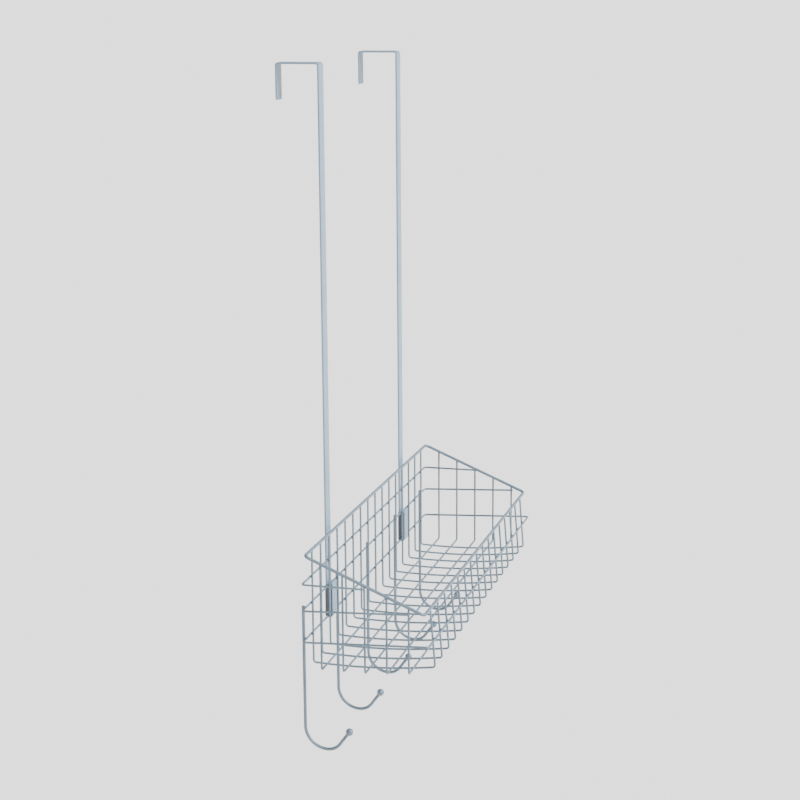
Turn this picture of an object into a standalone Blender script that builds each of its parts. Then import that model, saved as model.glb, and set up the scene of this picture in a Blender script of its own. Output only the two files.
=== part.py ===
"""Over-door shower caddy: a welded wire basket with ball-tipped hooks, hung from two flat-strap hangers.

Metres, +Z up. The origin is on top of the door: halfway between the two hangers, halfway across the door's
thickness, in the plane of the hangers' undersides. X runs along the basket, -Y is the front, +Y is behind
the door. The basket is laid out from its own datum: the centreline of the back wall's cross wires, at the
height where the floor wires leave it. From there the floor and the bands rise a little towards the front.
"""

import math

import bmesh
import bpy
from mathutils import Vector

MM = 0.001

# Wire and strap stock
THIN_WIRE = 2.2 * MM
THICK_WIRE = 3.4 * MM
STRAP_WIDTH = 15.0 * MM
STRAP_THICKNESS = 2.0 * MM
BALL_DIAMETER = 8.0 * MM
GAP = 0.3 * MM

# Basket, measured between wire centrelines
CROSS_WIRE_COUNT = 16
CROSS_WIRE_PITCH = 28.0 * MM
LONG_WIRE_COUNT = 5
LONG_WIRE_PITCH = 23.4 * MM
LONG_WIRE_MIDDLE = 63.8 * MM
END_OVERHANG = 24.0 * MM
FLOOR_DEPTH = 132.0 * MM
FLOOR_RISE = 7.8 * MM
FLOOR_SAG = 3.5 * MM
MOUTH_DEPTH = 127.0 * MM
BACK_HEIGHT = 123.5 * MM
FRONT_HEIGHT = 71.0 * MM
UPPER_BAND_HEIGHT = 93.5 * MM
MIDDLE_BAND_HEIGHT = 65.0 * MM
LOWER_BAND_HEIGHT = 31.0 * MM
MESH_BEND_RADIUS = 3.0 * MM
BAND_BEND_RADIUS = 4.0 * MM
BAND_TIP_OVERHANG = 1.5 * MM
UPPER_TIP_DROP = 3.0 * MM
MIDDLE_TIP_DROP = 0.0 * MM
RIM_BEND_RADIUS = 5.0 * MM

# Hangers
DOOR_GAP = 43.0 * MM
RETURN_LEG = 36.0 * MM
STRAP_BEND_RADIUS = 3.5 * MM
HANGER_SPACING = 10 * CROSS_WIRE_PITCH
HANG_HEIGHT = 614.0 * MM
J_THROAT = 3.9 * MM
TURN_UP_ABOVE_BAND = 1.5 * MM

# Hooks
HOOK_COUNT = 5
HOOK_SPACING = 4 * CROSS_WIRE_PITCH
HOOK_ABOVE_BAND = 1.5 * MM
HOOK_DROP = 66.0 * MM
HOOK_BEND_RADIUS = 24.0 * MM
HOOK_TIP_RADIUS = 17.0 * MM
HOOK_TIP_ANGLE = math.radians(54.0)
HOOK_TIP_LENGTH = 18.3 * MM

# Guide clips
CHEEK_THICKNESS = 1.2 * MM

# Places that follow from the sizes above
BASKET_LENGTH = (CROSS_WIRE_COUNT - 1) * CROSS_WIRE_PITCH + 2 * END_OVERHANG
END_X = BASKET_LENGTH / 2
STRAP_BACK_Y = -DOOR_GAP / 2
STRAP_FRONT_Y = STRAP_BACK_Y - STRAP_THICKNESS
BAND_OFFSET = THIN_WIRE + GAP
TURN_UP_BACK_Y = STRAP_FRONT_Y - J_THROAT
TURN_UP_FRONT_Y = TURN_UP_BACK_Y - STRAP_THICKNESS
BAND_BACK_Y = TURN_UP_BACK_Y + GAP + THIN_WIRE / 2
BACK_Y = BAND_BACK_Y - BAND_OFFSET
HOOK_Y = BAND_BACK_Y + THIN_WIRE / 2 + GAP + THICK_WIRE / 2
FLOOR_Z = -HANG_HEIGHT
LONG_WIRE_Z = FLOOR_Z + BAND_OFFSET
RIM_X = END_X + BAND_OFFSET - THIN_WIRE / 2 - GAP - THICK_WIRE / 2
SEGMENT_ANGLE = math.radians(18.0)
SMALLEST_BEND = math.radians(6.0)


def clear_scene():
    for old in list(bpy.data.objects):
        bpy.data.objects.remove(old, do_unlink=True)


def new_collection(name):
    collection = bpy.data.collections.new(name)
    bpy.context.scene.collection.children.link(collection)
    return collection


def material(name, colour, roughness, metallic):
    made = bpy.data.materials.new(name)
    made.use_nodes = True
    shader = made.node_tree.nodes["Principled BSDF"]
    shader.inputs["Base Color"].default_value = (*colour, 1.0)
    shader.inputs["Roughness"].default_value = roughness
    shader.inputs["Metallic"].default_value = metallic
    return made


def rounded_path(corners, radius, closed=False):
    """Points of a path through the corners, each turned with an arc of the given centreline radius."""
    corners = [Vector(corner) for corner in corners]
    count = len(corners)
    points = []
    for index, corner in enumerate(corners):
        if not closed and index in (0, count - 1):
            points.append(corner)
            continue
        before = (corners[index - 1] - corner).normalized()
        after = (corners[(index + 1) % count] - corner).normalized()
        turn = math.pi - before.angle(after)
        if turn < SMALLEST_BEND:
            points.append(corner)
            continue
        reach = radius * math.tan(turn / 2)
        middle = (before + after).normalized()
        centre = corner + middle * (radius / math.cos(turn / 2))
        start = corner + before * reach - centre
        finish = corner + after * reach - centre
        steps = max(2, math.ceil(turn / SEGMENT_ANGLE))
        for step in range(steps + 1):
            share = step / steps
            spoke = start * math.sin((1 - share) * turn) + finish * math.sin(share * turn)
            points.append(centre + spoke / math.sin(turn))
    return points


def wire(name, points, diameter, finish, collection, closed=False):
    """A round wire along the points, with flat cut ends unless it closes on itself."""
    curve = bpy.data.curves.new(name, "CURVE")
    curve.dimensions = "3D"
    curve.bevel_depth = diameter / 2
    curve.bevel_resolution = 2
    curve.use_fill_caps = True
    spline = curve.splines.new("POLY")
    spline.points.add(len(points) - 1)
    for point, place in zip(spline.points, points):
        point.co = (*place, 1.0)
    spline.use_cyclic_u = closed
    spline.use_smooth = True
    curve.materials.append(finish)
    made = bpy.data.objects.new(name, curve)
    collection.objects.link(made)
    return made


def arc(centre, radius, start, sweep):
    """Points of an arc in the Y-Z plane as (y, z) pairs, angles measured from +Y towards +Z."""
    steps = max(2, math.ceil(abs(sweep) / SEGMENT_ANGLE))
    points = []
    for step in range(steps + 1):
        angle = start + sweep * step / steps
        points.append((centre[0] + radius * math.cos(angle), centre[1] + radius * math.sin(angle)))
    return points


def profile_solid(name, outline, width, centre_x, finish, collection):
    """A flat outline in the Y-Z plane, extruded along X to the given width."""
    curve = bpy.data.curves.new(name, "CURVE")
    curve.dimensions = "2D"
    curve.fill_mode = "BOTH"
    curve.extrude = width / 2
    spline = curve.splines.new("POLY")
    spline.points.add(len(outline) - 1)
    for point, (y, z) in zip(spline.points, outline):
        point.co = (y, z, 0.0, 1.0)
    spline.use_cyclic_u = True
    curve.materials.append(finish)
    made = bpy.data.objects.new(name, curve)
    # The curve's own X and Y lie along the caddy's Y and Z, and its extrusion along the caddy's X.
    made.rotation_euler = (math.pi / 2, 0.0, math.pi / 2)
    made.location = (centre_x, 0.0, 0.0)
    collection.objects.link(made)
    return made


def as_mesh(source, collection):
    """The curve object's shape as a mesh object of the same name and place."""
    name = source.name
    bpy.context.view_layer.update()
    evaluated = source.evaluated_get(bpy.context.evaluated_depsgraph_get())
    mesh = bpy.data.meshes.new_from_object(evaluated)
    place = source.matrix_world.copy()
    bpy.data.objects.remove(source, do_unlink=True)
    shape = bmesh.new()
    shape.from_mesh(mesh)
    bmesh.ops.remove_doubles(shape, verts=shape.verts, dist=0.001 * MM)
    bmesh.ops.recalc_face_normals(shape, faces=shape.faces)
    shape.to_mesh(mesh)
    shape.free()
    made = bpy.data.objects.new(name, mesh)
    made.matrix_world = place
    collection.objects.link(made)
    return made


def floor_rise(y):
    """How much higher than at the back wall a floor wire or a band is at this distance from it."""
    return FLOOR_RISE * (BACK_Y - y) / FLOOR_DEPTH


def floor_level(y):
    """Height of the floor's cross wires above the datum: they rise to the front and sag in the middle."""
    share = (BACK_Y - y) / FLOOR_DEPTH
    return floor_rise(y) - 4 * FLOOR_SAG * share * (1 - share)


def front_y(height):
    """Centreline of the front wall's wires at a height above the datum: it leans in towards the mouth."""
    share = (height - FLOOR_RISE) / (FRONT_HEIGHT - FLOOR_RISE)
    return BACK_Y - FLOOR_DEPTH + (FLOOR_DEPTH - MOUTH_DEPTH) * share


def rim_height(y):
    """Height of the rim's centreline above the datum, on the sloping end of the basket."""
    return BACK_HEIGHT + (FRONT_HEIGHT - BACK_HEIGHT) * (BACK_Y - y) / MOUTH_DEPTH


def long_wire_y(number):
    """Where a long wire runs, counted from 1 at the back wall."""
    return BACK_Y - LONG_WIRE_MIDDLE - (number - (LONG_WIRE_COUNT + 1) / 2) * LONG_WIRE_PITCH


def add_rim(finish, collection):
    back = FLOOR_Z + BACK_HEIGHT
    front = FLOOR_Z + FRONT_HEIGHT
    mouth = BACK_Y - MOUTH_DEPTH
    corners = [(-RIM_X, BACK_Y, back), (RIM_X, BACK_Y, back), (RIM_X, mouth, front), (-RIM_X, mouth, front)]
    wire("rim", rounded_path(corners, RIM_BEND_RADIUS, closed=True), THICK_WIRE, finish, collection, True)


def add_cross_wires(finish, collection):
    under_rim = THICK_WIRE / 2 + GAP
    for index in range(CROSS_WIRE_COUNT):
        x = (index - (CROSS_WIRE_COUNT - 1) / 2) * CROSS_WIRE_PITCH
        front_top = FRONT_HEIGHT - under_rim
        floor = [long_wire_y(number) for number in range(1, LONG_WIRE_COUNT + 1)]
        corners = [(x, BACK_Y, FLOOR_Z + BACK_HEIGHT - under_rim), (x, BACK_Y, FLOOR_Z)]
        corners += [(x, y, FLOOR_Z + floor_level(y)) for y in floor]
        corners += [
            (x, front_y(FLOOR_RISE), FLOOR_Z + FLOOR_RISE),
            (x, front_y(front_top), FLOOR_Z + front_top),
        ]
        path = rounded_path(corners, MESH_BEND_RADIUS)
        wire(f"cross_wire_{index + 1:02d}", path, THIN_WIRE, finish, collection)


def add_long_wires(finish, collection):
    slope = math.atan((BACK_HEIGHT - FRONT_HEIGHT) / MOUTH_DEPTH)
    under_rim = (THICK_WIRE / 2 + GAP + THIN_WIRE / 2 * math.sin(slope)) / math.cos(slope)
    for number in range(1, LONG_WIRE_COUNT + 1):
        y = long_wire_y(number)
        top = FLOOR_Z + rim_height(y) - under_rim
        low = LONG_WIRE_Z + floor_level(y)
        corners = [(-END_X, y, top), (-END_X, y, low), (END_X, y, low), (END_X, y, top)]
        path = rounded_path(corners, MESH_BEND_RADIUS)
        wire(f"long_wire_{number}", path, THIN_WIRE, finish, collection)


def add_bands(finish, collection):
    """The wires that run round the outside of the basket: two U-shaped ones, and one closed ring."""
    outer_x = END_X + BAND_OFFSET
    bands = (
        ("upper", UPPER_BAND_HEIGHT, UPPER_TIP_DROP, 3),
        ("middle", MIDDLE_BAND_HEIGHT, MIDDLE_TIP_DROP, 5),
    )
    for name, height, tip_drop, last_wire in bands:
        z = FLOOR_Z + height
        tip = long_wire_y(last_wire) - BAND_TIP_OVERHANG
        tip_z = z + floor_rise(tip) - tip_drop
        corners = [
            (-outer_x, tip, tip_z),
            (-outer_x, BAND_BACK_Y, z),
            (outer_x, BAND_BACK_Y, z),
            (outer_x, tip, tip_z),
        ]
        path = rounded_path(corners, BAND_BEND_RADIUS)
        wire(f"band_wire_{name}", path, THIN_WIRE, finish, collection)
    z = FLOOR_Z + LOWER_BAND_HEIGHT
    front = front_y(LOWER_BAND_HEIGHT + FLOOR_RISE) - BAND_OFFSET
    front_z = z + floor_rise(front)
    corners = [
        (-outer_x, BAND_BACK_Y, z),
        (outer_x, BAND_BACK_Y, z),
        (outer_x, front, front_z),
        (-outer_x, front, front_z),
    ]
    path = rounded_path(corners, BAND_BEND_RADIUS, closed=True)
    wire("band_ring_lower", path, THIN_WIRE, finish, collection, True)


def hook_path(x):
    """Stem, half-round bend and rising tip of one hook, ending at the ball's centre."""
    top = FLOOR_Z + MIDDLE_BAND_HEIGHT + HOOK_ABOVE_BAND
    bend_z = FLOOR_Z - HOOK_DROP
    points = [(HOOK_Y, top)]
    points += arc((HOOK_Y - HOOK_BEND_RADIUS, bend_z), HOOK_BEND_RADIUS, 0.0, -math.pi / 2)
    tip_centre = (HOOK_Y - HOOK_BEND_RADIUS, bend_z - HOOK_BEND_RADIUS + HOOK_TIP_RADIUS)
    points += arc(tip_centre, HOOK_TIP_RADIUS, -math.pi / 2, -HOOK_TIP_ANGLE)[1:]
    y, z = points[-1]
    ball = (y - HOOK_TIP_LENGTH * math.cos(HOOK_TIP_ANGLE), z + HOOK_TIP_LENGTH * math.sin(HOOK_TIP_ANGLE))
    points.append(ball)
    return [Vector((x, y, z)) for y, z in points]


def add_hooks(finish, collection):
    flat_radius = THICK_WIRE / 2
    radius = BALL_DIAMETER / 2
    flat_depth = math.sqrt(radius**2 - flat_radius**2)
    for index in range(HOOK_COUNT):
        x = (index - (HOOK_COUNT - 1) / 2) * HOOK_SPACING
        path = hook_path(x)
        centre = path[-1]
        along = (path[-2] - centre).normalized()
        path[-1] = centre + along * (flat_depth + GAP)
        wire(f"hook_{index + 1}", path, THICK_WIRE, finish, collection)
        add_ball(f"hook_ball_{index + 1}", centre, along, flat_radius, finish, collection)


def add_ball(name, centre, towards_wire, flat_radius, finish, collection):
    """A turned ball with a small flat where the wire's end meets it."""
    radius = BALL_DIAMETER / 2
    first = math.asin(flat_radius / radius)
    steps = 8
    shape = bmesh.new()
    ring = [shape.verts.new((0.0, 0.0, radius * math.cos(first)))]
    for step in range(steps + 1):
        angle = first + (math.pi - first) * step / steps
        reach = radius * math.sin(angle) if step < steps else 0.0
        ring.append(shape.verts.new((reach, 0.0, radius * math.cos(angle))))
    for start, finish_vert in zip(ring, ring[1:]):
        shape.edges.new((start, finish_vert))
    mesh = bpy.data.meshes.new(name)
    shape.to_mesh(mesh)
    shape.free()
    mesh.materials.append(finish)
    made = bpy.data.objects.new(name, mesh)
    made.location = centre
    made.rotation_mode = "QUATERNION"
    made.rotation_quaternion = Vector((0.0, 0.0, 1.0)).rotation_difference(towards_wire)
    collection.objects.link(made)
    turn = made.modifiers.new("Turn", "SCREW")
    turn.steps = 14
    turn.render_steps = 14
    turn.use_merge_vertices = True
    turn.merge_threshold = 0.00001
    turn.use_smooth_shade = True


def hanger_outline():
    """Side view of a hanger as (y, z) pairs: over the door, down its front, and turned up at the bottom."""
    outer = STRAP_BEND_RADIUS
    inner = STRAP_BEND_RADIUS - STRAP_THICKNESS
    return_y = DOOR_GAP / 2
    turn_z = FLOOR_Z + LOWER_BAND_HEIGHT
    turn_y = (STRAP_FRONT_Y + TURN_UP_BACK_Y) / 2
    turn_up_top = FLOOR_Z + MIDDLE_BAND_HEIGHT + TURN_UP_ABOVE_BAND
    quarter = math.pi / 2
    points = [(return_y, -RETURN_LEG), (return_y + STRAP_THICKNESS, -RETURN_LEG)]
    points += arc((return_y - inner, -inner), outer, 0.0, quarter)
    points += arc((STRAP_BACK_Y + inner, -inner), outer, quarter, quarter)
    points += arc((turn_y, turn_z), J_THROAT / 2, 0.0, -math.pi)
    points += [(TURN_UP_BACK_Y, turn_up_top), (TURN_UP_FRONT_Y, turn_up_top)]
    points += arc((turn_y, turn_z), J_THROAT / 2 + STRAP_THICKNESS, math.pi, math.pi)
    points += arc((STRAP_BACK_Y + inner, -inner), inner, math.pi, -quarter)
    points += arc((return_y - inner, -inner), inner, quarter, -quarter)
    return points


def add_hangers(finish, collection):
    for side, x in (("left", -HANGER_SPACING / 2), ("right", HANGER_SPACING / 2)):
        made = profile_solid(f"hanger_{side}", hanger_outline(), STRAP_WIDTH, x, finish, collection)
        as_mesh(made, collection)


def box_cutter(name, low, high, collection):
    bpy.ops.mesh.primitive_cube_add(size=1.0)
    made = bpy.context.object
    made.name = name
    made.dimensions = [top - bottom for bottom, top in zip(low, high)]
    made.location = [(bottom + top) / 2 for bottom, top in zip(low, high)]
    for home in list(made.users_collection):
        home.objects.unlink(made)
    collection.objects.link(made)
    hide_cutter(made)
    return made


def hide_cutter(made):
    made.hide_render = True
    made.display_type = "WIRE"


def cut(target, cutter):
    modifier = target.modifiers.new(cutter.name, "BOOLEAN")
    modifier.operation = "DIFFERENCE"
    modifier.solver = "EXACT"
    modifier.object = cutter


def add_guide_clips(finish, collection, cutters):
    """Plastic clips: a core that fills each turned-up hanger end, between two cheeks that hug the strap."""
    width = STRAP_WIDTH + 2 * (GAP + CHEEK_THICKNESS)
    ring_z = FLOOR_Z + LOWER_BAND_HEIGHT
    bottom_radius = (STRAP_BACK_Y - TURN_UP_FRONT_Y) / 2
    middle_y = (STRAP_BACK_Y + TURN_UP_FRONT_Y) / 2
    top = FLOOR_Z + MIDDLE_BAND_HEIGHT - THIN_WIRE / 2 - GAP
    notch = THIN_WIRE / 2 + GAP
    over = 2.0 * MM
    outline = [(STRAP_BACK_Y, top)]
    outline += [(TURN_UP_FRONT_Y, top)]
    outline += arc((middle_y, ring_z), bottom_radius, math.pi, math.pi)
    notch_outline = [(BAND_BACK_Y + notch, ring_z - bottom_radius - over)]
    notch_outline += arc((BAND_BACK_Y, ring_z), notch, 0.0, math.pi)
    notch_outline += [(BAND_BACK_Y - notch, ring_z - bottom_radius - over)]
    for side, x in (("left", -HANGER_SPACING / 2), ("right", HANGER_SPACING / 2)):
        clip = as_mesh(profile_solid(f"guide_clip_{side}", outline, width, x, finish, collection), collection)
        half = STRAP_WIDTH / 2 + GAP
        floor = ring_z - bottom_radius - over
        roof = top + over
        slots = {
            "back": ((STRAP_FRONT_Y - GAP, floor), (STRAP_BACK_Y + over, roof)),
            "front": ((TURN_UP_FRONT_Y - over, floor), (TURN_UP_BACK_Y + GAP, roof)),
            "under": ((TURN_UP_FRONT_Y - over, floor), (STRAP_BACK_Y + over, ring_z + notch)),
        }
        for place, (low, high) in slots.items():
            low_corner = (x - half, low[0], low[1])
            high_corner = (x + half, high[0], high[1])
            cut(clip, box_cutter(f"cut_{place}_{side}", low_corner, high_corner, cutters))
        notch_cutter = profile_solid(f"cut_ring_{side}", notch_outline, width + 2 * over, x, finish, cutters)
        notch_cutter = as_mesh(notch_cutter, cutters)
        hide_cutter(notch_cutter)
        cut(clip, notch_cutter)


def main():
    clear_scene()
    caddy = new_collection("shower_caddy")
    cutters = new_collection("cutters")
    coated_steel = material("coated_steel", (0.46, 0.52, 0.57), 0.42, 0.0)
    dark_plastic = material("dark_plastic", (0.055, 0.065, 0.075), 0.6, 0.0)
    add_hangers(coated_steel, caddy)
    add_guide_clips(dark_plastic, caddy, cutters)
    add_rim(coated_steel, caddy)
    add_bands(coated_steel, caddy)
    add_cross_wires(coated_steel, caddy)
    add_long_wires(coated_steel, caddy)
    add_hooks(coated_steel, caddy)


main()
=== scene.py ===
"""Looks of the over-door shower caddy: powder-coated wires, ball-tipped hooks, straps and moulded clips.

Metres, +Z up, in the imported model's own frame: X along the basket, -Y its front, +Y behind the door. Every
place comes from the boxes of the CAD nodes; the sizes named below are the ones a box can't tell.
"""

import math
import random

import bmesh
import bpy
from mathutils import Matrix, Vector


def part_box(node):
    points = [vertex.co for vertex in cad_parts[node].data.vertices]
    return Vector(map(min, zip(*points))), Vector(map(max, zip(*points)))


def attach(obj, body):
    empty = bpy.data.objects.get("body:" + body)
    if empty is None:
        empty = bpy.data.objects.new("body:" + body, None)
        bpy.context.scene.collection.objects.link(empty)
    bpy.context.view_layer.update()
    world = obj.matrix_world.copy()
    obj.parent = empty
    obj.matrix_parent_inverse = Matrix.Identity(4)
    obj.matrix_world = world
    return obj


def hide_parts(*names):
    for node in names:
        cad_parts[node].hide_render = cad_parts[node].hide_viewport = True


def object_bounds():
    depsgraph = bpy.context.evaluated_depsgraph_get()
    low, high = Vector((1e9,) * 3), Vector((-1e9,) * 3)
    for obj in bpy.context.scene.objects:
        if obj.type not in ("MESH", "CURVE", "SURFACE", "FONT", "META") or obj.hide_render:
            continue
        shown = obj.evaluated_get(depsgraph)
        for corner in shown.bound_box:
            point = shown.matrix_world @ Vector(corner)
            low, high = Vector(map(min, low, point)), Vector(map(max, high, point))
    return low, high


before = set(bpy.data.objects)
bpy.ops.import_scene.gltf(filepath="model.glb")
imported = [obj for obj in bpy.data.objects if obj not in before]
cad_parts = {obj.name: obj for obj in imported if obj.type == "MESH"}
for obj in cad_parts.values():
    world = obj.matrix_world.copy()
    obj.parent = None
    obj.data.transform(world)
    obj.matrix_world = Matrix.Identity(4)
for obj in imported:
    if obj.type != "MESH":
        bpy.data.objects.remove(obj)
cad_low, cad_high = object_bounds()

MM = 0.001
CROSS_WIRE_COUNT = 16
LONG_WIRE_COUNT = 5
HOOK_COUNT = 5
SIDES = ("left", "right")

EAST = Vector((1.0, 0.0, 0.0))
NORTH = Vector((0.0, 1.0, 0.0))
UP = Vector((0.0, 0.0, 1.0))

# The space that the CAD leaves between wires that are welded together, and round the clips
GAP = 0.3 * MM

# Where the ring runs, above the floor's back edge
RING_ABOVE_FLOOR = 31.0 * MM

# Bend radii of the wires' centrelines
MESH_BEND = 3.0 * MM
BAND_BEND = 4.0 * MM
RIM_BEND = 5.0 * MM
HOOK_BEND = 24.0 * MM
HOOK_TIP_BEND = 17.0 * MM
HOOK_TIP_ANGLE = math.radians(54.0)

# Fineness of the meshes: steps along an arc, turns too small to round, and faces round a wire or a ball
ARC_STEP = math.radians(5.0)
FEWEST_ARC_STEPS = 3
SMALLEST_BEND = math.radians(6.0)
THIN_WIRE_SIDES = 20
THICK_WIRE_SIDES = 24
BALL_SIDES = 36

# Cut ends of the wires
WIRE_END_ROUND = 0.5 * MM
WIRE_END_STEPS = 4

# Hook balls: the share of the radius at which the ball turns into the collar of coat round its wire, and
# the collar's steps, its thickness on the wire, its reach past the ball and its rounded edge
COLLAR_START = 0.8
COLLAR_STEPS = 6
COLLAR_SWELL = 0.35 * MM
COLLAR_LENGTH = 0.55 * MM
COLLAR_EDGE = 0.25 * MM

# Weld beads: half their length and width, half their thickness, how far the first two vary, and how far
# a bead under the rim stands into it
WELD_REACH = 1.3 * MM
WELD_DEPTH = 0.62 * MM
WELD_LENGTH_RANGE = (0.9, 1.12)
WELD_WIDTH_RANGE = (0.9, 1.1)
RIM_WELD_REACH = WELD_REACH * 1.05
HOOK_WELD_REACH = WELD_REACH * 1.15
RIM_WELD_SINK = 0.1 * MM

# Butt joints that close the rim and the ring: rings of the joint to each side of its middle, and its place
BUTT_WELD_SWELL = 0.16 * MM
BUTT_WELD_STEP = 0.28 * MM
BUTT_WELD_STEPS = 8
RIM_JOINT_X = 6.0 * MM
RING_JOINT_X = -9.0 * MM

# Straps: the bends over the door, the leg behind it, the turned-up foot, rolled edges and rounded cut ends
STRAP_INNER_BEND = 1.5 * MM
RETURN_LEG = 36.0 * MM
TURN_UP_ABOVE_BAND = 1.5 * MM
STRAP_EDGE = 0.55 * MM
STRAP_EDGE_STEPS = 4
STRAP_CORNER = 2.2 * MM
STRAP_CORNER_STEPS = 7
STRAP_END_THINNING = 0.5 * MM
STRAP_SHARP_ANGLE = math.radians(50.0)

# Guide clips: how far the core runs into the cheeks, and the rounding of the edges
CLIP_OVERLAP = 0.2 * MM
CLIP_EDGE = 0.28 * MM
CLIP_EDGE_SEGMENTS = 3
CLIP_SHARP_ANGLE = math.radians(40.0)

# Materials: the range that a noise value keeps to, and the coats' and the plastic's own measures
NOISE_LOW = 0.3
NOISE_HIGH = 0.7
COAT_ROUGHNESS = (0.34, 0.48)
FLECK_SHADE = 0.82
FLECK_SHARE = 0.22
PEEL_DEPTH = 0.16 * MM
PLASTIC_ROUGHNESS = (0.46, 0.68)
GRAIN_STRENGTH = 0.35
GRAIN_DEPTH = 0.08 * MM

# Camera: where it stands and how it is turned
CAMERA_PLACE = Vector((-1.9087, -0.6207, 0.0872))
CAMERA_YAW = math.radians(16.28)
CAMERA_PITCH = math.radians(13.15)
CAMERA_ROLL = math.radians(-0.39)
CAMERA_LENS = 81.9
CAMERA_REACH = 1000.0

# Studio: the floor, the key light, and a sky that fades from the horizon up
FLOOR_DROP = 0.9
FLOOR_SIZE = 700.0
FLOOR_COLOUR = (0.95, 0.95, 0.95, 1.0)
KEY_TOWARDS = (0.08, 1.0, -0.95)
KEY_POWER = 9.0
KEY_SPREAD = math.radians(16.0)
SKY_STRENGTH = 0.2
SKY_FROM_HEIGHT = 0.4
HORIZON_STRENGTH = 2.2
HORIZON_TO_HEIGHT = 0.05

random.seed(7)


# ---------------------------------------------------------------- places read from the frame

def centre_of(node):
    low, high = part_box(node)
    return (low + high) / 2


def read_datum():
    """The wires' diameters and the datum lines that the boxes give."""
    cross_low, cross_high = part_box("cross_wire_01")
    hook_low, hook_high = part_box("hook_1")
    long_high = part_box("long_wire_1")[1]
    ring_low, ring_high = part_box("band_ring_lower")
    rim_low, rim_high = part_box("rim")
    thin = cross_high.x - cross_low.x
    thick = hook_high.x - hook_low.x
    ring_run = ring_high.y - ring_low.y - thin
    return {
        "thin": thin,
        "thick": thick,
        "back_y": cross_high.y - thin / 2,
        "floor_front_y": cross_low.y + thin / 2,
        "floor_back_z": ring_low.z + thin / 2 - RING_ABOVE_FLOOR,
        "floor_slope": (ring_high.z - ring_low.z - thin) / ring_run,
        "end_x": long_high.x - thin / 2,
        "rim_x": rim_high.x - thick / 2,
        "rim_back_z": rim_high.z - thick / 2,
        "rim_front_z": rim_low.z + thick / 2,
        "rim_front_y": rim_low.y + thick / 2,
    }


datum = read_datum()
THIN = datum["thin"]
THICK = datum["thick"]


def risen(z, y):
    """The height at y of a line that leaves the back wall at height z and rises with the floor."""
    return z + datum["floor_slope"] * (datum["back_y"] - y)


def band_z(low, high, y):
    """The height of a band's arm at y: it rises from the back run to the front of the band's box."""
    back = high.y - THIN / 2
    share = (back - y) / (back - low.y)
    return low.z + THIN / 2 + (high.z - low.z - THIN) * share


def rim_z(y):
    """The height of the rim's centreline at y, on the sloping ends."""
    share = (datum["back_y"] - y) / (datum["back_y"] - datum["rim_front_y"])
    return datum["rim_back_z"] + (datum["rim_front_z"] - datum["rim_back_z"]) * share


# ---------------------------------------------------------------- paths and tubes

def rounded_path(corners, radius, closed=False):
    """Points of a path through the corners, each turned with an arc of the given centreline radius."""
    corners = [Vector(corner) for corner in corners]
    count = len(corners)
    points = []
    for index, corner in enumerate(corners):
        if not closed and index in (0, count - 1):
            points.append(corner)
            continue
        before = (corners[index - 1] - corner).normalized()
        after = (corners[(index + 1) % count] - corner).normalized()
        turn = math.pi - before.angle(after)
        if turn < SMALLEST_BEND:
            points.append(corner)
            continue
        reach = radius * math.tan(turn / 2)
        centre = corner + (before + after).normalized() * (radius / math.cos(turn / 2))
        start = corner + before * reach - centre
        finish = corner + after * reach - centre
        steps = max(FEWEST_ARC_STEPS, math.ceil(turn / ARC_STEP))
        for step in range(steps + 1):
            share = step / steps
            spoke = start * math.sin((1 - share) * turn) + finish * math.sin(share * turn)
            points.append(centre + spoke / math.sin(turn))
    return points


def arc(centre, radius, start, sweep):
    """Points of an arc in the Y-Z plane as (y, z) pairs, angles measured from +Y towards +Z."""
    steps = max(FEWEST_ARC_STEPS, math.ceil(abs(sweep) / ARC_STEP))
    points = []
    for step in range(steps + 1):
        angle = start + sweep * step / steps
        points.append((centre[0] + radius * math.cos(angle), centre[1] + radius * math.sin(angle)))
    return points


def with_round_ends(points, radius):
    """(point, radius) pairs along an open wire, drawn in at both cut ends so that they look coated."""
    stations = [(Vector(point), radius) for point in points]
    softened = []
    for end in (0, -1):
        tip = stations[end][0]
        inward = (stations[1 if end == 0 else -2][0] - tip).normalized()
        rings = []
        for step in range(WIRE_END_STEPS + 1):
            angle = math.radians(90.0 * step / WIRE_END_STEPS)
            depth = WIRE_END_ROUND * (1 - math.sin(angle))
            rings.append((tip + inward * depth, radius - WIRE_END_ROUND * (1 - math.cos(angle))))
        softened.append(rings)
    return softened[0][::-1] + stations[1:-1] + softened[1]


def tube(name, points, diameter, closed=False, sides=THIN_WIRE_SIDES):
    """A round wire along the points as one closed, smooth mesh."""
    radius = diameter / 2
    stations = [(Vector(point), radius) for point in points] if closed else with_round_ends(points, radius)
    count = len(stations)
    shape = bmesh.new()
    rings = []
    side = None
    for index, (place, ring_radius) in enumerate(stations):
        before = stations[index - 1][0] if closed or index else place
        after = stations[(index + 1) % count][0] if closed or index < count - 1 else place
        along = (after - before).normalized()
        if side is None:
            side = along.orthogonal().normalized()
        side = (side - along * side.dot(along)).normalized()
        other = along.cross(side)
        ring = []
        for step in range(sides):
            angle = 2 * math.pi * step / sides
            spoke = side * math.cos(angle) + other * math.sin(angle)
            ring.append(shape.verts.new(place + spoke * ring_radius))
        rings.append(ring)
    skin(shape, rings)
    if closed:
        close_loop(shape, rings[-1], rings[0])
    else:
        cap_ends(shape, rings)
    bmesh.ops.recalc_face_normals(shape, faces=shape.faces)
    return mesh_object(name, shape)


def skin(shape, rings):
    """Adds the faces between each ring of vertices and the next."""
    for near, far in zip(rings, rings[1:]):
        count = len(near)
        for step in range(count):
            following = (step + 1) % count
            shape.faces.new((near[step], near[following], far[following], far[step]))


def cap_ends(shape, rings):
    """Closes a skinned shape at its first and last ring."""
    shape.faces.new(rings[0][::-1])
    shape.faces.new(rings[-1])


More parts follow.
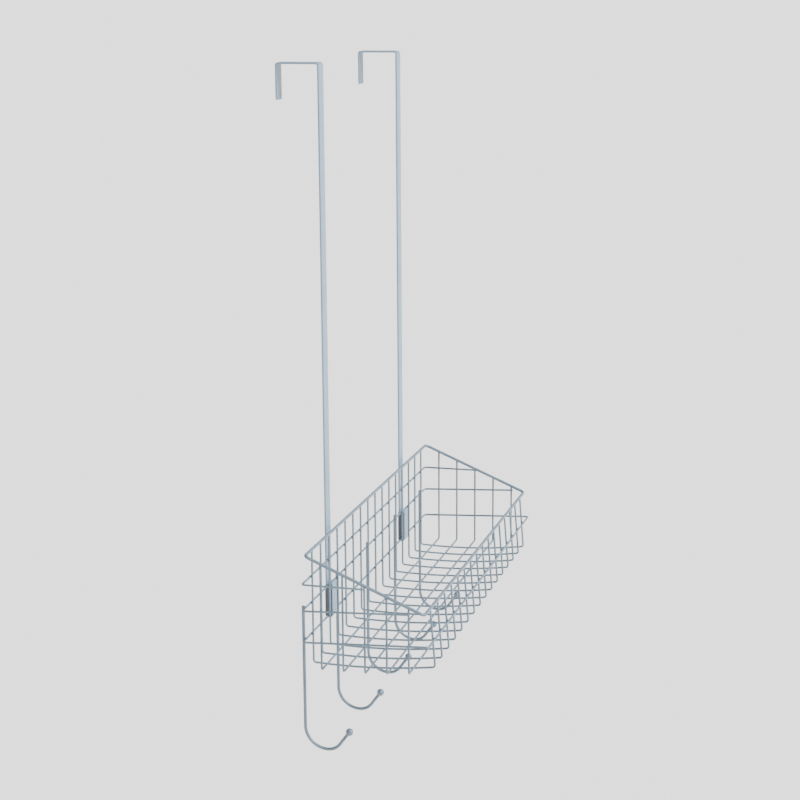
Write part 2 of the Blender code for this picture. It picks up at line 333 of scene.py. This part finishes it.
def close_loop(shape, last, first):
    """Joins a closed wire's last ring to its first, at the nearest vertex, so that it doesn't twist."""
    sides = len(last)
    offset = min(range(sides), key=lambda shift: (first[shift].co - last[0].co).length)
    for step in range(sides):
        following = (step + 1) % sides
        shape.faces.new((
            last[step],
            last[following],
            first[(following + offset) % sides],
            first[(step + offset) % sides],
        ))


def mesh_object(name, shape, smooth=True):
    """Turns a finished shape into an object in the scene."""
    mesh = bpy.data.meshes.new(name)
    shape.to_mesh(mesh)
    shape.free()
    if smooth:
        mesh.shade_smooth()
    made = bpy.data.objects.new(name, mesh)
    bpy.context.scene.collection.objects.link(made)
    return made


def finish_piece(piece, body, slot, look, *nodes):
    """Gives a piece its material and its body, and hides the CAD nodes that it stands for. The slot is not
    used.
    """
    piece.data.materials.append(look)
    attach(piece, body)
    if nodes:
        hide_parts(*nodes)


# ---------------------------------------------------------------- materials

def new_material(name):
    """A new material, its nodes and links, its main shader and its object coordinates."""
    made = bpy.data.materials.new(name)
    made.use_nodes = True
    nodes = made.node_tree.nodes
    coordinates = nodes.new("ShaderNodeTexCoord").outputs["Object"]
    return made, nodes, made.node_tree.links, nodes["Principled BSDF"], coordinates


def noise(nodes, links, coordinates, scale, detail, roughness=0.5):
    """A noise value over the surface."""
    made = nodes.new("ShaderNodeTexNoise")
    made.inputs["Scale"].default_value = scale
    made.inputs["Detail"].default_value = detail
    made.inputs["Roughness"].default_value = roughness
    links.new(coordinates, made.inputs["Vector"])
    return made.outputs["Fac"]


def spread(nodes, links, source, low, high):
    """Maps a noise value, which keeps to the middle of its range, to the range low to high."""
    made = nodes.new("ShaderNodeMapRange")
    made.inputs["From Min"].default_value = NOISE_LOW
    made.inputs["From Max"].default_value = NOISE_HIGH
    made.inputs["To Min"].default_value = low
    made.inputs["To Max"].default_value = high
    links.new(source, made.inputs["Value"])
    return made.outputs["Result"]


def colour_socket(sockets, name):
    """A Mix node's colour socket: its sockets of other types have the same names."""
    return next(socket for socket in sockets if socket.name == name and socket.type == "RGBA")


def blend_colours(nodes, links, factor, first, second):
    """Mixes two colours, each of them a tuple or another node's output."""
    made = nodes.new("ShaderNodeMix")
    made.data_type = "RGBA"
    links.new(factor, made.inputs["Factor"])
    for name, colour in (("A", first), ("B", second)):
        target = colour_socket(made.inputs, name)
        if isinstance(colour, tuple):
            target.default_value = (*colour, 1.0)
        else:
            links.new(colour, target)
    return colour_socket(made.outputs, "Result")


def add_bump(nodes, links, shader, height, strength, depth):
    bump = nodes.new("ShaderNodeBump")
    bump.inputs["Strength"].default_value = strength
    bump.inputs["Distance"].default_value = depth
    links.new(height, bump.inputs["Height"])
    links.new(bump.outputs["Normal"], shader.inputs["Normal"])


def powder_coat(name, light, deep, peel_strength):
    """Satin powder coat on steel: cloudy colour, fine flecks, orange peel and slightly uneven gloss."""
    made, nodes, links, shader, coordinates = new_material(name)
    clouds = noise(nodes, links, coordinates, scale=38.0, detail=3.0)
    flecks = noise(nodes, links, coordinates, scale=2600.0, detail=2.0)
    peel = noise(nodes, links, coordinates, scale=850.0, detail=2.0, roughness=0.45)
    handling = noise(nodes, links, coordinates, scale=120.0, detail=4.0, roughness=0.6)
    cloudy = blend_colours(nodes, links, spread(nodes, links, clouds, 0.0, 1.0), light, deep)
    fleck_share = spread(nodes, links, flecks, 0.0, FLECK_SHARE)
    fleck_colour = tuple(channel * FLECK_SHADE for channel in deep)
    flecked = blend_colours(nodes, links, fleck_share, cloudy, fleck_colour)
    links.new(flecked, shader.inputs["Base Color"])
    links.new(spread(nodes, links, handling, *COAT_ROUGHNESS), shader.inputs["Roughness"])
    add_bump(nodes, links, shader, peel, peel_strength, PEEL_DEPTH)
    shader.inputs["Metallic"].default_value = 0.0
    shader.inputs["IOR"].default_value = 1.5
    shader.inputs["Coat Weight"].default_value = 0.12
    shader.inputs["Coat Roughness"].default_value = 0.3
    return made


def moulded_plastic(name, light, deep):
    """Dark moulded plastic: spark-eroded grain, faint flow marks and a dull, uneven gloss."""
    made, nodes, links, shader, coordinates = new_material(name)
    flow = noise(nodes, links, coordinates, scale=90.0, detail=4.0, roughness=0.6)
    grain = noise(nodes, links, coordinates, scale=3200.0, detail=3.0, roughness=0.6)
    colour = blend_colours(nodes, links, spread(nodes, links, flow, 0.0, 1.0), light, deep)
    links.new(colour, shader.inputs["Base Color"])
    links.new(spread(nodes, links, grain, *PLASTIC_ROUGHNESS), shader.inputs["Roughness"])
    add_bump(nodes, links, shader, grain, GRAIN_STRENGTH, GRAIN_DEPTH)
    return made


# One powder coat in two copies: the wires' copy is painted darker, for the shade on thin round wires, and
# the straps' copy painted lighter, for the light on their flat faces.
WIRE_COAT_PAINTED_DARKER = powder_coat(
    "powder_coated_wire_painted_darker",
    light=(0.126, 0.178, 0.228),
    deep=(0.1, 0.145, 0.19),
    peel_strength=0.5,
)
# Painted lighter: the wires' own coat, lightened for the light that the straps' flat faces catch.
STRAP_COAT_PAINTED_LIGHTER = powder_coat(
    "powder_coated_strap_painted_lighter",
    light=(0.182, 0.262, 0.348),
    deep=(0.156, 0.232, 0.31),
    peel_strength=0.7,
)
PLASTIC = moulded_plastic(
    "dark_moulded_plastic",
    light=(0.062, 0.076, 0.092),
    deep=(0.044, 0.055, 0.068),
)


# ---------------------------------------------------------------- basket wires

def add_cross_wires():
    """The U-shaped wires across the basket: back wall, sagging floor and front wall."""
    front_top = datum["rim_front_z"] - THICK / 2
    back_top = datum["rim_back_z"] - THICK / 2
    floor_front = risen(datum["floor_back_z"], datum["floor_front_y"])
    long_boxes = [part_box(f"long_wire_{number}") for number in range(1, LONG_WIRE_COUNT + 1)]
    floor = [((low.y + high.y) / 2, low.z - GAP - THIN / 2) for low, high in long_boxes]
    for number in range(1, CROSS_WIRE_COUNT + 1):
        node = f"cross_wire_{number:02d}"
        x = centre_of(node).x
        corners = [(x, datum["back_y"], back_top), (x, datum["back_y"], datum["floor_back_z"])]
        corners += [(x, y, z) for y, z in floor]
        corners += [(x, datum["floor_front_y"], floor_front), (x, datum["rim_front_y"], front_top)]
        piece = tube(f"{node}_coated", rounded_path(corners, MESH_BEND), THIN)
        finish_piece(piece, "basket", "coated_steel", WIRE_COAT_PAINTED_DARKER, node)


def add_long_wires():
    """The U-shaped wires along the basket: one end wall, the floor and the other end wall."""
    end = datum["end_x"]
    for number in range(1, LONG_WIRE_COUNT + 1):
        node = f"long_wire_{number}"
        low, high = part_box(node)
        y = (low.y + high.y) / 2
        z = low.z + THIN / 2
        top = high.z + GAP
        corners = [(-end, y, top), (-end, y, z), (end, y, z), (end, y, top)]
        piece = tube(f"{node}_coated", rounded_path(corners, MESH_BEND), THIN)
        finish_piece(piece, "basket", "coated_steel", WIRE_COAT_PAINTED_DARKER, node)


def add_bands():
    """The wires round the outside: two open ones, and the closed ring."""
    for node in ("band_wire_upper", "band_wire_middle"):
        low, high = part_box(node)
        outer = high.x - THIN / 2
        back = high.y - THIN / 2
        z = low.z + THIN / 2
        tip_z = high.z - THIN / 2
        corners = [(-outer, low.y, tip_z), (-outer, back, z), (outer, back, z), (outer, low.y, tip_z)]
        piece = tube(f"{node}_coated", rounded_path(corners, BAND_BEND), THIN)
        finish_piece(piece, "basket", "coated_steel", WIRE_COAT_PAINTED_DARKER, node)
    low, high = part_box("band_ring_lower")
    half = THIN / 2
    back = (high.y - half, low.z + half)
    front = (low.y + half, high.z - half)
    add_closed_wire("band_ring_lower", high.x - half, back, front, BAND_BEND, THIN, THIN_WIRE_SIDES)


def add_rim():
    """The thick wire round the mouth: high at the back and low at the front."""
    back = (datum["back_y"], datum["rim_back_z"])
    front = (datum["rim_front_y"], datum["rim_front_z"])
    add_closed_wire("rim", datum["rim_x"], back, front, RIM_BEND, THICK, THICK_WIRE_SIDES)


def add_closed_wire(node, x, back, front, bend, diameter, sides):
    """A four-cornered ring of wire, with its back and front runs at the given (y, z) places."""
    corners = [(-x, *back), (x, *back), (x, *front), (-x, *front)]
    path = rounded_path(corners, bend, closed=True)
    piece = tube(f"{node}_coated", path, diameter, closed=True, sides=sides)
    finish_piece(piece, "basket", "coated_steel", WIRE_COAT_PAINTED_DARKER, node)


# ---------------------------------------------------------------- hooks

def add_hooks():
    """The J hooks under the back wall, each with its ball."""
    for number in range(1, HOOK_COUNT + 1):
        node = f"hook_{number}"
        low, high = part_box(node)
        x = (low.x + high.x) / 2
        stem_y = high.y - THICK / 2
        bend_y = stem_y - HOOK_BEND
        bend_z = low.z + THICK / 2 + HOOK_BEND
        points = [(stem_y, high.z)]
        points += arc((bend_y, bend_z), HOOK_BEND, 0.0, -math.pi / 2)
        tip_centre = (bend_y, bend_z - HOOK_BEND + HOOK_TIP_BEND)
        points += arc(tip_centre, HOOK_TIP_BEND, -math.pi / 2, -HOOK_TIP_ANGLE)[1:]
        ball_node = f"hook_ball_{number}"
        ball_low, ball_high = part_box(ball_node)
        radius = (ball_high.x - ball_low.x) / 2
        centre = Vector((x, ball_low.y + radius, ball_high.z - radius))
        end = Vector((x, *points[-1]))
        towards = (end - centre).normalized()
        neck = centre + towards * (radius * COLLAR_START)
        path = [Vector((x, y, z)) for y, z in points] + [neck]
        piece = tube(f"{node}_coated", path, THICK, sides=THICK_WIRE_SIDES)
        finish_piece(piece, "basket", "coated_steel", WIRE_COAT_PAINTED_DARKER, node)
        ball = coated_ball(f"{ball_node}_coated", centre, radius, towards)
        finish_piece(ball, "basket", "coated_steel", WIRE_COAT_PAINTED_DARKER, ball_node)


def ball_profile(radius):
    """(reach, depth) pairs of a ball and its collar, from just off the pole to the collar's edge."""
    profile = []
    for step in range(1, BALL_SIDES + 1):
        angle = math.pi * step / BALL_SIDES
        depth = -radius * math.cos(angle)
        if depth < radius * COLLAR_START:
            profile.append((radius * math.sin(angle), depth))
    start_reach, start_depth = profile[-1]
    collar_radius = THICK / 2 + COLLAR_SWELL
    collar_end = radius + COLLAR_LENGTH
    for step in range(1, COLLAR_STEPS + 1):
        share = step / COLLAR_STEPS
        eased = 1 - (1 - share) ** 2
        reach = start_reach + (collar_radius - start_reach) * eased
        profile.append((reach, start_depth + (collar_end - start_depth) * share))
    profile.append((collar_radius - COLLAR_EDGE, collar_end + COLLAR_EDGE / 2))
    return profile


def coated_ball(name, centre, radius, towards):
    """A ball end, with the coat drawn into a small collar where the wire enters it."""
    shape = bmesh.new()
    pole = shape.verts.new((0.0, 0.0, -radius))
    rings = []
    for reach, depth in ball_profile(radius):
        ring = []
        for step in range(BALL_SIDES):
            angle = 2 * math.pi * step / BALL_SIDES
            ring.append(shape.verts.new((reach * math.cos(angle), reach * math.sin(angle), depth)))
        rings.append(ring)
    for step in range(BALL_SIDES):
        following = (step + 1) % BALL_SIDES
        shape.faces.new((pole, rings[0][following], rings[0][step]))
    skin(shape, rings)
    shape.faces.new(rings[-1])
    bmesh.ops.recalc_face_normals(shape, faces=shape.faces)
    turn = UP.rotation_difference(towards).to_matrix().to_4x4()
    shape.transform(Matrix.Translation(centre) @ turn)
    return mesh_object(name, shape)


# ---------------------------------------------------------------- welds

def weld_into(shape, place, along, across, reach=WELD_REACH):
    """Adds one squashed bead to the mesh: long in two directions, thin along the line between the wires."""
    normal = along.cross(across).normalized()
    turn = Matrix((along, across, normal)).transposed().to_4x4()
    length = reach * random.uniform(*WELD_LENGTH_RANGE)
    width = reach * random.uniform(*WELD_WIDTH_RANGE)
    scale = Matrix.Diagonal((length, width, WELD_DEPTH, 1.0))
    placed = Matrix.Translation(place) @ turn @ scale
    bmesh.ops.create_icosphere(shape, subdivisions=2, radius=1.0, matrix=placed)


def weld_cross_wires(floor, walls, long_boxes, bands):
    """Beads where the cross wires meet the long wires, the bands behind, the ring in front and the rim."""
    ring_low, ring_high = bands[-1]
    for number in range(1, CROSS_WIRE_COUNT + 1):
        x = centre_of(f"cross_wire_{number:02d}").x
        for low, high in long_boxes:
            place = Vector((x, (low.y + high.y) / 2, low.z - GAP / 2))
            weld_into(floor, place, EAST, NORTH)
        for low, high in bands:
            place = Vector((x, high.y - THIN - GAP / 2, low.z + THIN / 2))
            weld_into(walls, place, EAST, UP)
        front = Vector((x, ring_low.y + THIN + GAP / 2, ring_high.z - THIN / 2))
        weld_into(walls, front, EAST, UP)
        back_top = Vector((x, datum["back_y"], datum["rim_back_z"] - THICK / 2 + RIM_WELD_SINK))
        weld_into(walls, back_top, EAST, NORTH, RIM_WELD_REACH)
        front_top = Vector((x, datum["rim_front_y"], datum["rim_front_z"] - THICK / 2 + RIM_WELD_SINK))
        weld_into(walls, front_top, EAST, NORTH, RIM_WELD_REACH)


def weld_ends(walls, long_boxes, bands):
    """Beads where the long wires' upright ends meet the rim and the bands that reach as far as they do."""
    rim_drop = datum["rim_back_z"] - datum["rim_front_z"]
    slope = math.atan(rim_drop / (datum["back_y"] - datum["rim_front_y"]))
    along_rim = Vector((0.0, math.cos(slope), math.sin(slope)))
    for side in (-1, 1):
        for low, high in long_boxes:
            y = (low.y + high.y) / 2
            top = Vector((side * datum["end_x"], y, rim_z(y) - THICK / 2 / math.cos(slope)))
            weld_into(walls, top, EAST, along_rim)
            for band_low, band_high in bands:
                if y < band_low.y:
                    continue
                z = band_z(band_low, band_high, y)
                place = Vector((side * (datum["end_x"] + THIN / 2 + GAP / 2), y, z))
                weld_into(walls, place, NORTH, UP)


def weld_hooks(walls, bands):
    """Beads where the hooks' stems meet the middle band and the ring."""
    for number in range(1, HOOK_COUNT + 1):
        low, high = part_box(f"hook_{number}")
        x = (low.x + high.x) / 2
        for band_low, band_high in bands[1:]:
            place = Vector((x, band_high.y + GAP / 2, band_low.z + THIN / 2))
            weld_into(walls, place, EAST, UP, HOOK_WELD_REACH)


def add_welds():
    """The beads where wires were spot-welded: the coat rounds them over."""
    floor = bmesh.new()
    walls = bmesh.new()
    long_boxes = [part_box(f"long_wire_{number}") for number in range(1, LONG_WIRE_COUNT + 1)]
    bands = [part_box(node) for node in ("band_wire_upper", "band_wire_middle", "band_ring_lower")]
    weld_cross_wires(floor, walls, long_boxes, bands)
    weld_ends(walls, long_boxes, bands)
    weld_hooks(walls, bands)
    for name, shape in (("floor_weld_beads", floor), ("wall_weld_beads", walls)):
        finish_piece(mesh_object(name, shape), "basket", "coated_steel", WIRE_COAT_PAINTED_DARKER)


def add_butt_welds():
    """The dressed butt joints that close the rim and the ring, near the middle of their back runs."""
    low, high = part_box("band_ring_lower")
    joints = (
        ("rim_joint", (datum["back_y"], datum["rim_back_z"]), THICK, RIM_JOINT_X),
        ("ring_joint", (high.y - THIN / 2, low.z + THIN / 2), THIN, RING_JOINT_X),
    )
    for name, (y, z), diameter, x in joints:
        radius = diameter / 2
        stations = []
        for step in range(-BUTT_WELD_STEPS, BUTT_WELD_STEPS + 1):
            angle = step * math.pi / (2 * (BUTT_WELD_STEPS + 1))
            swell = BUTT_WELD_SWELL * math.cos(angle) ** 4
            stations.append((Vector((x + step * BUTT_WELD_STEP, y, z)), radius + swell))
        piece = lathe_along_x(name, stations)
        finish_piece(piece, "basket", "coated_steel", WIRE_COAT_PAINTED_DARKER)


def lathe_along_x(name, stations):
    """A closed solid of rings about a line along X, from (place, radius) pairs."""
    shape = bmesh.new()
    rings = []
    for place, radius in stations:
        ring = []
        for step in range(THICK_WIRE_SIDES):
            angle = 2 * math.pi * step / THICK_WIRE_SIDES
            spoke = Vector((0.0, radius * math.cos(angle), radius * math.sin(angle)))
            ring.append(shape.verts.new(place + spoke))
        rings.append(ring)
    skin(shape, rings)
    cap_ends(shape, rings)
    bmesh.ops.recalc_face_normals(shape, faces=shape.faces)
    return mesh_object(name, shape)


# ---------------------------------------------------------------- hangers

def strap_section(width, thickness):
    """The strap's cross-section as (across, through) pairs, with rolled edges."""
    points = []
    half_width = width / 2 - STRAP_EDGE
    half_thickness = thickness / 2 - STRAP_EDGE
    quadrants = ((1, 1, 0.0), (-1, 1, 90.0), (-1, -1, 180.0), (1, -1, 270.0))
    for sign_x, sign_y, first in quadrants:
        for step in range(STRAP_EDGE_STEPS + 1):
            angle = math.radians(first + 90.0 * step / STRAP_EDGE_STEPS)
            points.append((
                sign_x * half_width + STRAP_EDGE * math.cos(angle),
                sign_y * half_thickness + STRAP_EDGE * math.sin(angle),
            ))
    return points


def hanger_line(low, high):
    """The strap's centreline as (y, z) pairs, from its end behind the door to its turned-up foot."""
    thickness = high.z
    bend = STRAP_INNER_BEND + thickness / 2
    return_y = high.y - thickness / 2
    front_y = -return_y
    foot_y = low.y + thickness / 2
    foot_radius = (front_y - foot_y) / 2
    foot_centre = ((front_y + foot_y) / 2, low.z + thickness / 2 + foot_radius)
    middle_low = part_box("band_wire_middle")[0]
    foot_top = middle_low.z + THIN / 2 + TURN_UP_ABOVE_BAND
    level = thickness / 2
    points = [(return_y, -RETURN_LEG)]
    points += arc((return_y - bend, level - bend), bend, 0.0, math.pi / 2)
    points += arc((front_y + bend, level - bend), bend, math.pi / 2, math.pi / 2)
    points += arc(foot_centre, foot_radius, 0.0, -math.pi)
    points.append((foot_y, foot_top))
    return points


def add_hangers():
    """The two straps. Their undersides lie at zero, so the top of a strap's box is its thickness."""
    for side in SIDES:
        node = f"hanger_{side}"
        low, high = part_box(node)
        line = hanger_line(low, high)
        piece = strap(f"{node}_coated", line, (low.x + high.x) / 2, high.x - low.x, high.z)
        finish_piece(piece, "hangers", "coated_steel", STRAP_COAT_PAINTED_LIGHTER, node)


def strap(name, line, x, width, thickness):
    """A flat bar along a line in the Y-Z plane, with rolled edges and rounded corners at its cut ends."""
    stations = [(Vector((x, y, z)), width) for y, z in line]
    ends = []
    for end in (0, -1):
        tip = stations[end][0]
        inward = (stations[1 if end == 0 else -2][0] - tip).normalized()
        rows = []
        for step in range(STRAP_CORNER_STEPS + 1):
            angle = math.pi / 2 * step / STRAP_CORNER_STEPS
            row_width = width - 2 * STRAP_CORNER * (1 - math.sin(angle))
            rows.append((tip + inward * STRAP_CORNER * (1 - math.cos(angle)), row_width))
        ends.append(rows)
    stations = ends[0] + stations[1:-1] + ends[1][::-1]
    last = len(stations) - 1
    shape = bmesh.new()
    rings = []
    for index, (place, row_width) in enumerate(stations):
        before = stations[max(index - 1, 0)][0]
        after = stations[min(index + 1, last)][0]
        along = (after - before).normalized()
        through = EAST.cross(along)
        thinning = STRAP_END_THINNING if index in (0, last) else 0.0
        ring = []
        for aside, outward in strap_section(row_width, thickness - thinning):
            ring.append(shape.verts.new(place + EAST * aside + through * outward))
        rings.append(ring)
    skin(shape, rings)
    cap_ends(shape, rings)
    bmesh.ops.recalc_face_normals(shape, faces=shape.faces)
    made = mesh_object(name, shape)
    made.data.set_sharp_from_angle(angle=STRAP_SHARP_ANGLE)
    return made


# ---------------------------------------------------------------- guide clips

def outline_solid(name, outline, x_low, x_high):
    """A flat outline in the Y-Z plane, made solid between two X places."""
    shape = bmesh.new()
    bottom = [shape.verts.new((x_low, y, z)) for y, z in outline]
    top = [shape.verts.new((x_high, y, z)) for y, z in outline]
    skin(shape, [bottom, top])
    cap_ends(shape, [bottom, top])
    bmesh.ops.recalc_face_normals(shape, faces=shape.faces)
    return mesh_object(name, shape, smooth=False)


def unite(target, tool):
    """Joins the tool's shape to the target's, and removes the tool."""
    modifier = target.modifiers.new("UNION", "BOOLEAN")
    modifier.operation = "UNION"
    modifier.solver = "EXACT"
    modifier.object = tool
    evaluated = target.evaluated_get(bpy.context.evaluated_depsgraph_get())
    mesh = bpy.data.meshes.new_from_object(evaluated)
    target.modifiers.clear()
    target.data = mesh
    bpy.data.objects.remove(tool, do_unlink=True)


def cheek_outline(low, high):
    """A clip's side view, round at the bottom and notched there for the ring; and the notch's top."""
    ring_low, ring_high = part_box("band_ring_lower")
    ring = (ring_high.y - THIN / 2, ring_low.z + THIN / 2)
    notch = THIN / 2 + GAP
    radius = (high.y - low.y) / 2
    middle = (high.y + low.y) / 2
    offset = ring[0] - middle
    front_angle = math.pi + math.acos((notch - offset) / radius)
    back_angle = 2 * math.pi - math.acos((offset + notch) / radius)
    outline = [(high.y, high.z), (low.y, high.z), (middle - radius, ring[1])]
    outline += arc((middle, ring[1]), radius, math.pi, front_angle - math.pi)[1:]
    outline += arc(ring, notch, math.pi, -math.pi)
    outline += arc((middle, ring[1]), radius, back_angle, 2 * math.pi - back_angle)
    return outline, ring[1] + notch


def add_guide_clips():
    """Two cheeks that hug the strap, joined by a core that fills its turned-up foot."""
    for side in SIDES:
        node = f"guide_clip_{side}"
        low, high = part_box(node)
        hanger_low, hanger_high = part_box(f"hanger_{side}")
        strap_low = hanger_low.x - GAP
        strap_high = hanger_high.x + GAP
        cheek, core_low = cheek_outline(low, high)
        piece = outline_solid(f"{node}_moulded", cheek, low.x, strap_low)
        other = outline_solid("other_cheek", cheek, strap_high, high.x)
        thickness = hanger_high.z
        core_back = high.y - thickness - GAP
        core_front = low.y + thickness + GAP
        section = [(core_back, high.z), (core_front, high.z), (core_front, core_low), (core_back, core_low)]
        core = outline_solid("core", section, strap_low - CLIP_OVERLAP, strap_high + CLIP_OVERLAP)
        unite(piece, core)
        unite(piece, other)
        rounding = piece.modifiers.new("Rounded edges", "BEVEL")
        rounding.width = CLIP_EDGE
        rounding.segments = CLIP_EDGE_SEGMENTS
        rounding.limit_method = "ANGLE"
        rounding.angle_limit = CLIP_SHARP_ANGLE
        piece.data.shade_smooth()
        piece.data.set_sharp_from_angle(angle=CLIP_SHARP_ANGLE)
        finish_piece(piece, "basket", "dark_plastic", PLASTIC, node)


# ---------------------------------------------------------------- stage, light and camera

def add_floor():
    """A plain pale floor, well below the caddy and wide enough to have no edge in view."""
    bpy.ops.mesh.primitive_plane_add(size=FLOOR_SIZE, location=(0.0, 0.0, cad_low.z - FLOOR_DROP))
    floor = bpy.context.object
    floor.name = "studio_floor"
    made = bpy.data.materials.new("studio_floor")
    made.use_nodes = True
    shader = made.node_tree.nodes["Principled BSDF"]
    shader.inputs["Base Color"].default_value = FLOOR_COLOUR
    shader.inputs["Roughness"].default_value = 1.0
    shader.inputs["Specular IOR Level"].default_value = 0.0
    floor.data.materials.append(made)


def add_key_light():
    """A wide, even light from the front and above."""
    data = bpy.data.lights.new("key", "SUN")
    data.energy = KEY_POWER
    data.angle = KEY_SPREAD
    made = bpy.data.objects.new("key", data)
    made.rotation_euler = Vector(KEY_TOWARDS).to_track_quat("-Z", "Y").to_euler()
    bpy.context.scene.collection.objects.link(made)


def add_sky():
    """White light all round, bright at the horizon and dim overhead."""
    world = bpy.data.worlds.new("studio")
    world.use_nodes = True
    nodes = world.node_tree.nodes
    links = world.node_tree.links
    direction = nodes.new("ShaderNodeTexCoord").outputs["Generated"]
    parts = nodes.new("ShaderNodeSeparateXYZ")
    links.new(direction, parts.inputs["Vector"])
    fade = nodes.new("ShaderNodeMapRange")
    fade.interpolation_type = "SMOOTHSTEP"
    fade.inputs["From Min"].default_value = HORIZON_TO_HEIGHT
    fade.inputs["From Max"].default_value = SKY_FROM_HEIGHT
    fade.inputs["To Min"].default_value = HORIZON_STRENGTH
    fade.inputs["To Max"].default_value = SKY_STRENGTH
    links.new(parts.outputs["Z"], fade.inputs["Value"])
    sky = nodes["Background"]
    sky.inputs["Color"].default_value = (1.0, 1.0, 1.0, 1.0)
    links.new(fade.outputs["Result"], sky.inputs["Strength"])
    bpy.context.scene.world = world


def add_camera():
    """The camera at the photo's place and angle."""
    forward = Vector((
        math.cos(CAMERA_PITCH) * math.cos(CAMERA_YAW),
        math.cos(CAMERA_PITCH) * math.sin(CAMERA_YAW),
        -math.sin(CAMERA_PITCH),
    ))
    level = forward.cross(UP).normalized()
    upright = level.cross(forward)
    right = level * math.cos(CAMERA_ROLL) + upright * math.sin(CAMERA_ROLL)
    up = right.cross(forward)
    data = bpy.data.cameras.new("camera")
    data.lens = CAMERA_LENS
    data.clip_end = CAMERA_REACH
    made = bpy.data.objects.new("camera", data)
    turn = Matrix((right, up, -forward)).transposed().to_4x4()
    made.matrix_world = Matrix.Translation(CAMERA_PLACE) @ turn
    bpy.context.scene.collection.objects.link(made)
    bpy.context.scene.camera = made


add_camera()
add_cross_wires()
add_long_wires()
add_bands()
add_rim()
add_hooks()
add_welds()
add_butt_welds()
add_hangers()
add_guide_clips()
add_floor()
add_key_light()
add_sky()
